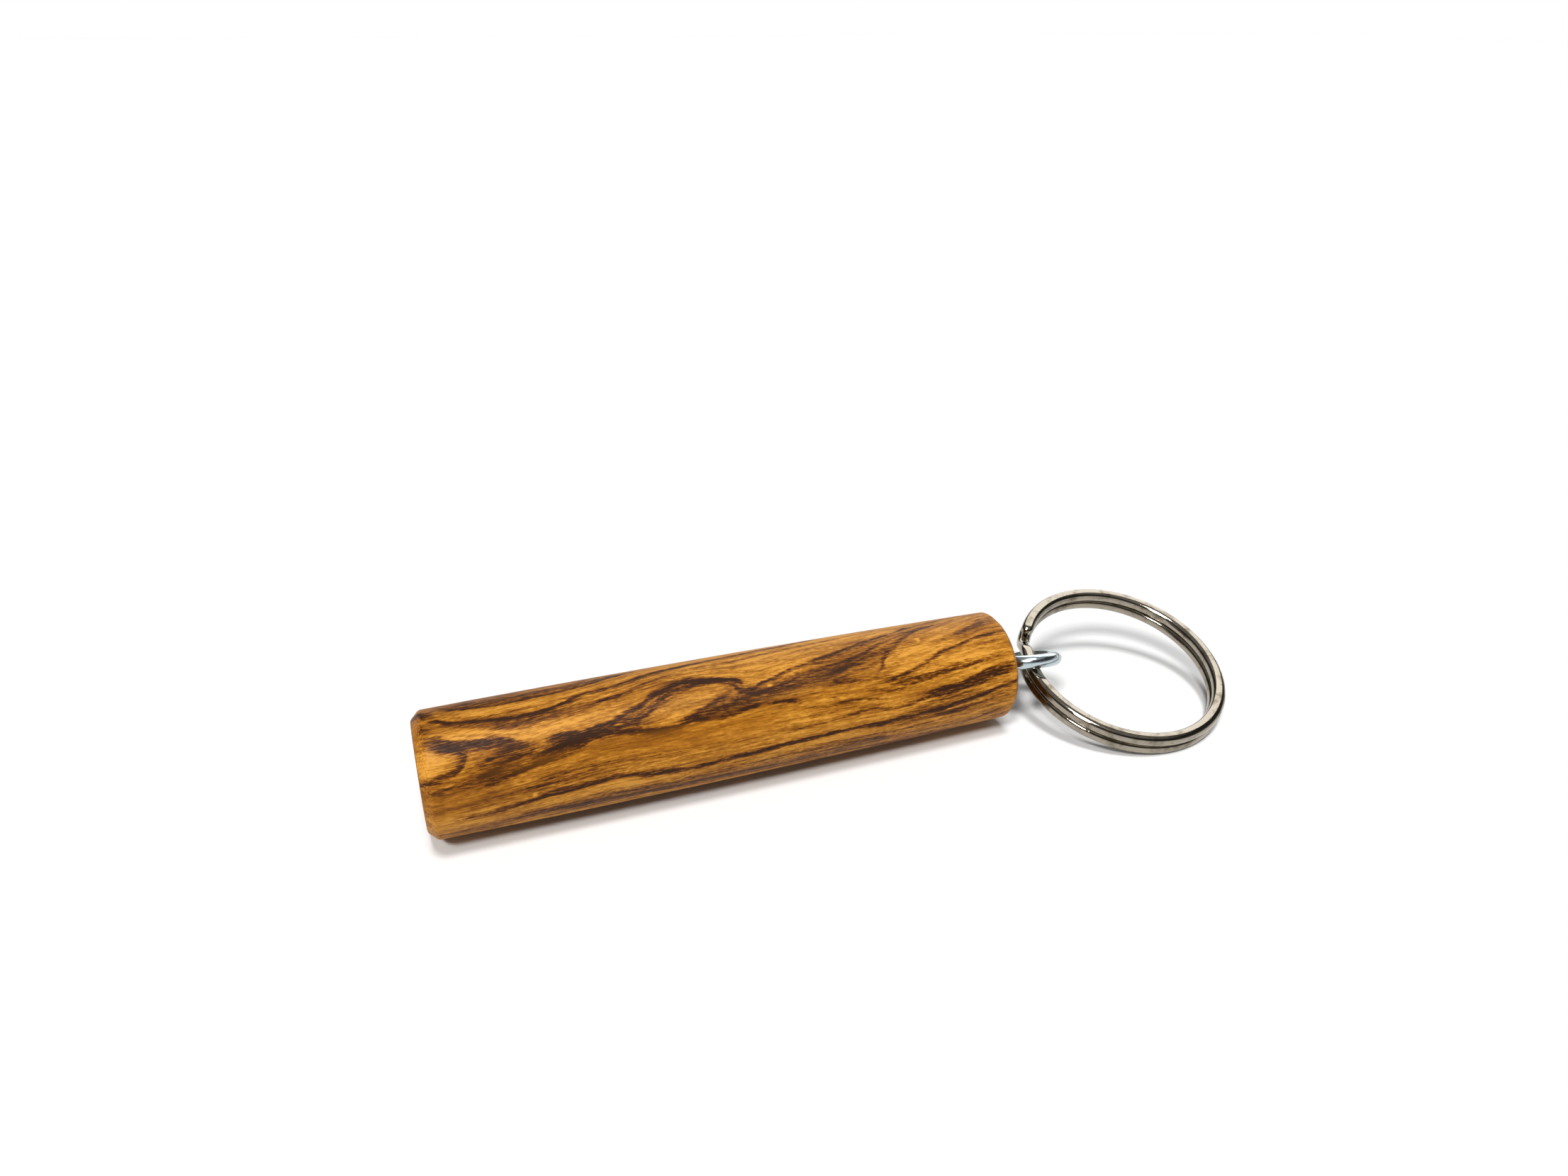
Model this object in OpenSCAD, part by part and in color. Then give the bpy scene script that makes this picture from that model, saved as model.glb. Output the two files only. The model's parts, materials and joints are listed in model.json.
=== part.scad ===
// Key fob: a turned wooden barrel, a screw eye in its end and a split ring through the eye.
// It lies on a flat surface, at rest, with the ring leaning from the eye down to that surface.
// The origin is the centre of the fob's free end face. +X runs along the fob towards the eye,
// +Z is up, and the surface lies half the fob's diameter below the axis.

/* [Fob] */
// Length of the wooden barrel
fob_len = 78; // [55:0.5:110]
// Diameter of the barrel at its thickest
fob_d = 16; // [13:0.1:24]
// How much thinner than fob_d the barrel is at its free end
free_end_taper = 0.3; // [0.1:0.05:1]
// How much thinner than fob_d the barrel is at its eye end
eye_end_taper = 1.1; // [0.2:0.05:1.5]
// Chamfer round the free end
free_chamfer = 1.1; // [0.3:0.05:2]
// Chamfer round the eye end
eye_chamfer = 0.75; // [0.3:0.05:2]

/* [Screw eye] */
// Thickness of the eye's wire
wire_d = 1.95; // [1.4:0.05:2.6]
// How much wider the loop's hole is than the ring's two turns, corner to corner
ring_play = 2.24; // [2.04:0.05:5]
// Inside radius of the bend between the shank and the loop
neck_r = 0.7; // [0.6:0.05:2]
// Gap between the loop's cut end and its neck
eye_gap = 0.3; // [0.1:0.05:1]
// Diameter of the plain shank
shank_d = 1.9; // [1.3:0.05:2.5]
// Plain shank that stands out of the wood
eye_standoff = 0.1; // [0.1:0.1:3]
// Turn of the loop about the fob's axis, near side up
eye_turn = 27; // [0:1:45]
// Lean of the whole screw eye, loop down
eye_lean = 4.5; // [0:0.5:8]
// Plain shank inside the wood, above the thread
plain_len = 2; // [1:0.1:5]
// Length of the thread
thread_len = 8; // [5:0.5:14]
// Pitch of the thread
thread_pitch = 0.9; // [0.7:0.05:1.2]
// Diameter of the thread's core
core_d = 1.4; // [1:0.05:1.8]
// Length of the screw's point
point_len = 1.8; // [1:0.1:3]

/* [Pilot hole] */
// How much narrower than the shank the pilot hole is, for the thread to bite
hole_bite = 0.3; // [0.1:0.05:0.5]
// Empty depth of the hole past the screw's point
hole_spare = 1.5; // [0.5:0.1:4]

/* [Split ring] */
// Outer diameter of the split ring
ring_od = 30; // [24:0.5:40]
// Width of the ring's wire, across the ring
coil_w = 1.82; // [1.2:0.02:2.6]
// Thickness of one turn of the ring
coil_t = 1.5; // [1:0.02:2]
// Play between the two turns
coil_gap = 0.06; // [0.04:0.01:0.2]
// Distance round the ring from the eye to the upper turn's end
upper_end_run = 4.67; // [4.4:0.05:9.5]
// Distance round the ring from the eye to the lower turn's end
lower_end_run = 0.25; // [0:0.05:9.5]
// Length of the step from one turn to the other
step_run = 3.69; // [3:0.05:3.9]

/* [Resting pose] */
// Turn of the ring to the near side, seen from above
ring_yaw = 15; // [0:1:30]
// Lean of the ring, far side up
ring_roll = 15.8; // [0:0.1:30]
// Place of the ring's wire in the loop, from the middle of the hole
hook_shift = [0, 0.1, -0.1]; // [-1:0.05:1]

/* [Hidden] */
FINE = 64;
BARREL_STATIONS = 20;   // straight stretches that make up the barrel's long curve
OVERLAP = 0.05;         // joins the thread to the shank
SHANK_SINK = 0.2;       // joins the shank to the neck
HOLE_PAST = 2;          // how far the pilot hole's cut reaches past the end face

// Barrel: a parabola through both end radii and the thickest radius
free_drop = sqrt(free_end_taper / 2);
eye_drop = sqrt(eye_end_taper / 2);
thickest_x = fob_len * free_drop / (free_drop + eye_drop);
function barrel_r(x) =
    fob_d / 2 - pow((free_drop + eye_drop) * (x - thickest_x) / fob_len, 2);

// Screw eye: the neck's bend turns away from the axis and the loop turns back round it, and the
// loop's hole takes both turns of the ring
eye_hole_d = norm([coil_w, 2 * coil_t + coil_gap]) + ring_play;
loop_r = (eye_hole_d + wire_d) / 2;
neck_bend_r = neck_r + wire_d / 2;
bends_apart = neck_bend_r + loop_r;
neck_turn = acos(neck_bend_r / bends_apart);
loop_h = eye_standoff + bends_apart * sin(neck_turn);
end_apart = neck_bend_r + wire_d + eye_gap;
loop_sweep = 360 - acos((pow(loop_r, 2) + pow(bends_apart, 2) - pow(end_apart, 2)) / (2 * loop_r * bends_apart));
hole_d = shank_d - hole_bite;
screw_depth = plain_len + thread_len;
THREAD_SIDES = 20;      // points round each turn of the thread
THREAD_RUNOUT = 0.75;   // turns over which the thread rises out of the shank
POINT_TIP = 0.12;       // share of the thread's thickness that is left at the tip

// Split ring
coil_r = (ring_od - coil_w) / 2;
coil_h = (coil_t + coil_gap) / 2;
function turn_for(run) = run / coil_r * 180 / PI;
upper_end = turn_for(upper_end_run);
lower_end = turn_for(lower_end_run);
step_len = turn_for(step_run);
STEP_SHIFT = 1;         // degrees from the upper turn's end to the step's foot
SECTION_POINTS = 16;
SQUARENESS = 2.5;       // 2 is an ellipse, higher is a rounder-cornered rectangle
COIL_STEP = 4;          // degrees between the ring's sections
FINE_STEP = 1.5;        // degrees between them at the step
END_ROUND = 4;          // degrees over which a wire end is rounded

// Resting pose: the hook is the ring wire's middle where it goes through the loop
surface_z = -fob_d / 2;
hook = [fob_len + loop_h * cos(eye_lean), 0, -loop_h * sin(eye_lean)] + hook_shift;
ring_droop = droop(0, 60, 30);
ring_out = [cos(ring_droop) * cos(ring_yaw), -cos(ring_droop) * sin(ring_yaw), -sin(ring_droop)];
ring_flat = [sin(ring_droop) * cos(ring_yaw), -sin(ring_droop) * sin(ring_yaw), cos(ring_droop)];
ring_side = cross(ring_out, ring_flat);
ring_up = cos(ring_roll) * ring_flat + sin(ring_roll) * ring_side;
ring_near = cross(ring_up, -ring_out);
ring_centre = hook + coil_r * ring_out;

// Height of the ring's lowest point over the surface when it droops by an angle
function ring_clearance(angle) =
    let (up_z = cos(angle) * cos(ring_roll), lean = sqrt(1 - up_z * up_z),
         power = SQUARENESS / (SQUARENESS - 1),
         coil = pow(pow(coil_w / 2 * lean, power) + pow(coil_t / 2 * up_z, power), 1 / power))
    hook[2] - coil_r * sin(angle) - coil_r * lean - coil_h * up_z - coil - surface_z;

// The droop at which the ring just touches the surface, by halving the range
function droop(low, high, tries) =
    let (mid = (low + high) / 2)
    tries == 0 ? mid
    : ring_clearance(mid) > 0 ? droop(mid, high, tries - 1)
    : droop(low, mid, tries - 1);

function ramp(t) = let (c = min(1, max(0, t))) c * c * (3 - 2 * c);

// A closed solid through rings of points, each ring with the same number of points
module loft(rings) {
    sides = len(rings[0]);
    last = len(rings) - 1;
    polyhedron(
        points = [for (ring = rings) each ring],
        faces = [
            [for (j = [0 : sides - 1]) j],
            for (i = [0 : last - 1]) for (j = [0 : sides - 1])
                let (k = (j + 1) % sides, a = i * sides, b = a + sides)
                each [[a + j, b + k, a + k], [a + j, b + j, b + k]],
            [for (j = [sides - 1 : -1 : 0]) last * sides + j]
        ]);
}

// Puts the screw eye's own frame, with its shank along +X from the end face, in place
module at_eye() {
    translate([fob_len, 0, 0]) rotate([0, eye_lean, 0]) rotate([-eye_turn, 0, 0]) children();
}

module wood_fob() {
    profile = [
        [0, 0],
        [barrel_r(0) - free_chamfer, 0],
        for (i = [0 : BARREL_STATIONS])
            let (x = free_chamfer + (fob_len - free_chamfer - eye_chamfer) * i / BARREL_STATIONS)
            [barrel_r(x), x],
        [barrel_r(fob_len) - eye_chamfer, fob_len],
        [0, fob_len]
    ];
    color("peru") difference() {
        rotate([0, 90, 0]) rotate_extrude($fn = FINE) polygon(profile);
        at_eye() translate([-screw_depth - hole_spare, 0, 0]) rotate([0, 90, 0])
            cylinder(d = hole_d, h = screw_depth + hole_spare + HOLE_PAST, $fn = FINE);
    }
}

// The screw's thread: a core whose radius rises once a turn, from the plain shank to the point
module thread() {
    pitches = thread_len / thread_pitch;
    rows = ceil(pitches * THREAD_SIDES / 4);
    function crest(x, angle) =
        let (turns = x / thread_pitch - angle / 360, phase = abs(turns - floor(turns) - 0.5) * 2)
        ramp(1.6 * phase - 0.6);
    function thread_r(x, angle) =
        let (rise = ramp(x / thread_pitch / THREAD_RUNOUT),
             taper = min(1, POINT_TIP + (thread_len - x) / point_len))
        taper * (core_d + rise * crest(x, angle) * (shank_d - core_d)) / 2;
    loft([for (i = [0 : rows]) let (x = thread_len * i / rows)
        [for (j = [0 : THREAD_SIDES - 1]) let (angle = 360 * j / THREAD_SIDES)
            [-plain_len + OVERLAP - x, thread_r(x, angle) * cos(angle), -thread_r(x, angle) * sin(angle)]]]);
}

// A bend in the eye's wire: it leaves the origin along +X and turns towards +Y
module wire_bend(r, turn) {
    translate([0, r, 0]) rotate([0, 0, -90]) rotate_extrude(angle = turn, $fn = FINE)
        translate([r, 0]) circle(d = wire_d, $fn = FINE);
}

module screw_eye() {
    neck_end = [eye_standoff + neck_bend_r * sin(neck_turn), neck_bend_r * (1 - cos(neck_turn)), 0];
    color("lightsteelblue") at_eye() {
        thread();
        translate([-plain_len, 0, 0]) rotate([0, 90, 0])
            cylinder(d = shank_d, h = plain_len + eye_standoff + SHANK_SINK, $fn = FINE);
        translate(neck_end) rotate([0, 0, neck_turn]) {
            mirror([1, 0, 0]) wire_bend(neck_bend_r, neck_turn);
            mirror([0, 1, 0]) wire_bend(loop_r, loop_sweep);
        }
    }
}

// The ring's wire: it starts on the upper turn, steps down as it goes through the eye, and ends
// on the lower turn. Angles run round the ring from the eye, positive on the near side.
module split_ring() {
    start = -upper_end;
    finish = -720 + lower_end;
    step_start = -360 - upper_end + step_len + STEP_SHIFT;
    step_end = step_start - step_len;
    function level(angle) = coil_h * (1 - 2 * ramp((step_start - angle) / step_len));
    function end_size(angle) =
        let (near_end = min(start - angle, angle - finish), t = min(1, near_end / END_ROUND))
        sqrt(max(0.04, 1 - (1 - t) * (1 - t)));
    function rounded(v) = sign(v) * pow(abs(v), 2 / SQUARENESS);
    angles = [
        start, start - 0.2, start - 0.8, start - 2,
        for (a = [start - COIL_STEP : -COIL_STEP : step_start + FINE_STEP]) a,
        for (a = [step_start : -FINE_STEP : step_end]) a,
        for (a = [step_end - FINE_STEP : -COIL_STEP : finish + 3]) a,
        finish + 2, finish + 0.8, finish + 0.2, finish
    ];
    color("silver")
        multmatrix([for (row = [0 : 2]) [-ring_out[row], ring_near[row], ring_up[row], ring_centre[row]]])
            loft([for (angle = angles)
                [for (j = [0 : SECTION_POINTS - 1])
                    let (around = 360 * (j + 0.5) / SECTION_POINTS,
                         r = coil_r + end_size(angle) * coil_w / 2 * rounded(cos(around)),
                         z = level(angle) + end_size(angle) * coil_t / 2 * rounded(sin(around)))
                    [r * cos(angle), r * sin(angle), z]]]);
}

wood_fob();
screw_eye();
split_ring();
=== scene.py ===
import bpy
import json
import math
import random
import numpy as np
from mathutils import Matrix, Vector


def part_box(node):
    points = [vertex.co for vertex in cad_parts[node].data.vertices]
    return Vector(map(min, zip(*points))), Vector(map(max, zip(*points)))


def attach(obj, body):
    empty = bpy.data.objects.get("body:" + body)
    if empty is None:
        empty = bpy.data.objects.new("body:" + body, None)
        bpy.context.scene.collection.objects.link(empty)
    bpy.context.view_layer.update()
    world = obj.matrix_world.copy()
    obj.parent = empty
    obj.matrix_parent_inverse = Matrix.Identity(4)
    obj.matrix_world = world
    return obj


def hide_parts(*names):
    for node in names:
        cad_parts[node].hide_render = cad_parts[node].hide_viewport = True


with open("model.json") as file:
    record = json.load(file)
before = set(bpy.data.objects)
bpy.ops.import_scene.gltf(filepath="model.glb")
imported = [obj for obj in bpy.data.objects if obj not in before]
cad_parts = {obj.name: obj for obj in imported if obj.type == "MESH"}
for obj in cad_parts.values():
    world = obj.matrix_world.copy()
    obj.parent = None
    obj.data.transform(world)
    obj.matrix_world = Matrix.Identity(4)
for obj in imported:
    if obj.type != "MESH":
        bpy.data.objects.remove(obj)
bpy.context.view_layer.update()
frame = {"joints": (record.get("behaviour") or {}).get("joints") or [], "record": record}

# A turned olive-wood key fob with a screw eye and a split ring. Lengths here are in millimetres
# and become metres as the meshes are made. Angles are in degrees.
MM = 0.001
record = frame["record"]


def mm(point):
    """A point of the frame, in millimetres."""
    return np.array(point, dtype=float) / MM


def unit(vector):
    return np.array(vector, dtype=float) / np.linalg.norm(vector)


# ---------------------------------------------------------------- sizes from the frame
fob_low, fob_high = (mm(corner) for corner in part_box("wood_fob"))
FOB_LEN = fob_high[0] - fob_low[0]
FOB_R = (fob_high[2] - fob_low[2]) / 2
SURFACE_Z = fob_low[2]
swing = frame["joints"][0]
ring_mount = [m for m in record["mounts"] if m["name"] == "key_ring"][0]
RING_CENTRE = mm(ring_mount["pos_m"])
RING_UP = unit(ring_mount["axis"])
RING_NEAR = unit(swing["axis"])
RING_OUT = np.cross(RING_UP, RING_NEAR)

# Sizes that part.scad sets and the frame doesn't state
FREE_TAPER, EYE_TAPER = 0.3, 1.1
FREE_CHAMFER, EYE_CHAMFER = 1.1, 0.75
WIRE_D, NECK_R, EYE_GAP, RING_PLAY = 1.95, 0.7, 0.3, 2.24
SHANK_D, STANDOFF, EYE_TURN, EYE_LEAN = 1.9, 0.1, 27, 4.5
PLAIN_LEN, THREAD_LEN, PITCH, CORE_D, POINT_LEN = 2, 8, 0.9, 1.4, 1.8
HOLE_D = 1.6
RING_OD, COIL_W, COIL_T, COIL_GAP = 30, 1.82, 1.5, 0.06
COIL_R = (RING_OD - COIL_W) / 2
UPPER_END, LOWER_END, STEP_LEN = (math.degrees(run / COIL_R) for run in (4.67, 0.25, 3.69))
EYE_HOLE_D = math.hypot(COIL_W, 2 * COIL_T + COIL_GAP) + RING_PLAY


# ---------------------------------------------------------------- camera
# Place of the camera from the middle of the fob, and the way that it looks
CAMERA_FROM_FOB = np.array([-36.15, -118.2, 83.1])
CAMERA_AZIMUTH, CAMERA_PITCH, CAMERA_ROLL = 20.24, -27.52, 0.43
LENS, SENSOR = 26.04, 36


def make_camera():
    data = bpy.data.cameras.new("camera")
    data.lens = LENS
    data.sensor_width = SENSOR
    data.clip_start = 0.005
    data.clip_end = 100
    camera = bpy.data.objects.new("camera", data)
    bpy.context.scene.collection.objects.link(camera)
    turn = (
        Matrix.Rotation(-math.radians(CAMERA_AZIMUTH), 4, "Z")
        @ Matrix.Rotation(math.radians(90 + CAMERA_PITCH), 4, "X")
        @ Matrix.Rotation(math.radians(CAMERA_ROLL), 4, "Z")
    )
    middle = (fob_low + fob_high) / 2
    place = Vector((middle + CAMERA_FROM_FOB) * MM)
    camera.matrix_world = Matrix.Translation(place) @ turn
    bpy.context.scene.camera = camera


make_camera()


# ---------------------------------------------------------------- mesh helpers
def make_object(name, points, faces, node, body, material):
    mesh = bpy.data.meshes.new(name)
    mesh.from_pydata((np.asarray(points) * MM).tolist(), [], faces)
    mesh.polygons.foreach_set("use_smooth", [True] * len(mesh.polygons))
    mesh.materials.append(material)
    mesh.update()
    piece = bpy.data.objects.new(name, mesh)
    bpy.context.scene.collection.objects.link(piece)
    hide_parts(node)
    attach(piece, body)
    return piece


def tube_faces(rows, sides):
    """Faces between rows of points, each row closed on itself, with both ends filled."""
    faces = []
    for i in range(rows - 1):
        for j in range(sides):
            k = (j + 1) % sides
            faces.append((i * sides + j, i * sides + k, (i + 1) * sides + k, (i + 1) * sides + j))
    faces.append(tuple(range(sides - 1, -1, -1)))
    faces.append(tuple(range((rows - 1) * sides, rows * sides)))
    return faces


def ramp(t):
    c = min(1.0, max(0.0, t))
    return c * c * (3 - 2 * c)


def smoothstep(value, low, high):
    t = np.clip((value - low) / (high - low), 0, 1)
    return t * t * (3 - 2 * t)


# ---------------------------------------------------------------- node helpers
class Nodes:
    """Builds a material's node tree from short calls."""

    def __init__(self, name):
        self.material = bpy.data.materials.new(name)
        self.material.use_nodes = True
        self.tree = self.material.node_tree
        self.shader = self.tree.nodes["Principled BSDF"]

    def add(self, kind, **settings):
        node = self.tree.nodes.new(kind)
        for key, value in settings.items():
            setattr(node, key, value)
        return node

    def join(self, source, target):
        self.tree.links.new(source, target)

    def put(self, socket, value):
        if isinstance(value, bpy.types.NodeSocket):
            self.join(value, socket)
        else:
            socket.default_value = value

    def math(self, operation, a, b=0.0, clamp=False):
        node = self.add("ShaderNodeMath", operation=operation, use_clamp=clamp)
        self.put(node.inputs[0], a)
        self.put(node.inputs[1], b)
        return node.outputs[0]

    def attribute(self, name):
        return self.add("ShaderNodeAttribute", attribute_name=name)

    def object_place(self, scale=(1, 1, 1), turn=(0, 0, 0), shift=(0, 0, 0)):
        """The place on the object in millimetres, scaled, turned and shifted."""
        coordinates = self.add("ShaderNodeTexCoord")
        mapping = self.add("ShaderNodeMapping")
        self.join(coordinates.outputs["Object"], mapping.inputs["Vector"])
        mapping.inputs["Scale"].default_value = [s / MM for s in scale]
        mapping.inputs["Rotation"].default_value = [math.radians(t) for t in turn]
        mapping.inputs["Location"].default_value = shift
        return mapping.outputs["Vector"]

    def along_grain(self, scale):
        """The place in a straight-grained fob in millimetres, scaled."""
        mapping = self.add("ShaderNodeMapping")
        self.join(self.attribute("grain").outputs["Vector"], mapping.inputs["Vector"])
        mapping.inputs["Scale"].default_value = scale
        return mapping.outputs["Vector"]

    def noise(self, place, scale=1.0, detail=2.0, roughness=0.5):
        node = self.add("ShaderNodeTexNoise")
        self.join(place, node.inputs["Vector"])
        node.inputs["Scale"].default_value = scale
        node.inputs["Detail"].default_value = detail
        node.inputs["Roughness"].default_value = roughness
        return node.outputs["Fac"]

    def rings(self, place, scale, distortion):
        """Bands round the X axis."""
        node = self.add("ShaderNodeTexWave", wave_type="RINGS", rings_direction="X")
        self.join(place, node.inputs["Vector"])
        node.inputs["Scale"].default_value = scale
        node.inputs["Distortion"].default_value = distortion
        node.inputs["Detail"].default_value = 3.0
        node.inputs["Detail Scale"].default_value = 0.6
        return node.outputs["Fac"]

    def voronoi(self, place, scale):
        """Distance to the nearest of some scattered points."""
        node = self.add("ShaderNodeTexVoronoi")
        self.join(place, node.inputs["Vector"])
        node.inputs["Scale"].default_value = scale
        return node.outputs["Distance"]

    def between(self, value, low, high, to_low=0.0, to_high=1.0):
        """Maps low..high to to_low..to_high, with soft ends, and clamps."""
        node = self.add("ShaderNodeMapRange", interpolation_type="SMOOTHSTEP")
        self.put(node.inputs["Value"], value)
        node.inputs["From Min"].default_value = low
        node.inputs["From Max"].default_value = high
        node.inputs["To Min"].default_value = to_low
        node.inputs["To Max"].default_value = to_high
        return node.outputs["Result"]

    def colours(self, value, stops):
        node = self.add("ShaderNodeValToRGB")
        self.put(node.inputs["Fac"], value)
        elements = node.color_ramp.elements
        while len(elements) < len(stops):
            elements.new(0.5)
        for element, (place, colour) in zip(elements, stops):
            element.position = place
            element.color = (*linear(colour), 1)
        return node.outputs["Color"]

    def mix(self, factor, a, b):
        node = self.add("ShaderNodeMix", data_type="RGBA")
        self.put(node.inputs["Factor"], factor)
        for socket, value in ((node.inputs[6], a), (node.inputs[7], b)):
            if isinstance(value, bpy.types.NodeSocket):
                self.join(value, socket)
            else:
                socket.default_value = (*linear(value), 1)
        return node.outputs[2]

    def bump(self, height, strength, distance, before=None):
        node = self.add("ShaderNodeBump")
        node.inputs["Strength"].default_value = strength
        node.inputs["Distance"].default_value = distance * MM
        self.join(height, node.inputs["Height"])
        if before is not None:
            self.join(before, node.inputs["Normal"])
        return node.outputs["Normal"]


def linear(colour):
    """A colour written as 0 to 255 display values, in the renderer's linear values."""
    return [((c / 255 + 0.055) / 1.055) ** 2.4 if c > 10 else c / 255 / 12.92 for c in colour]


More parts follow.
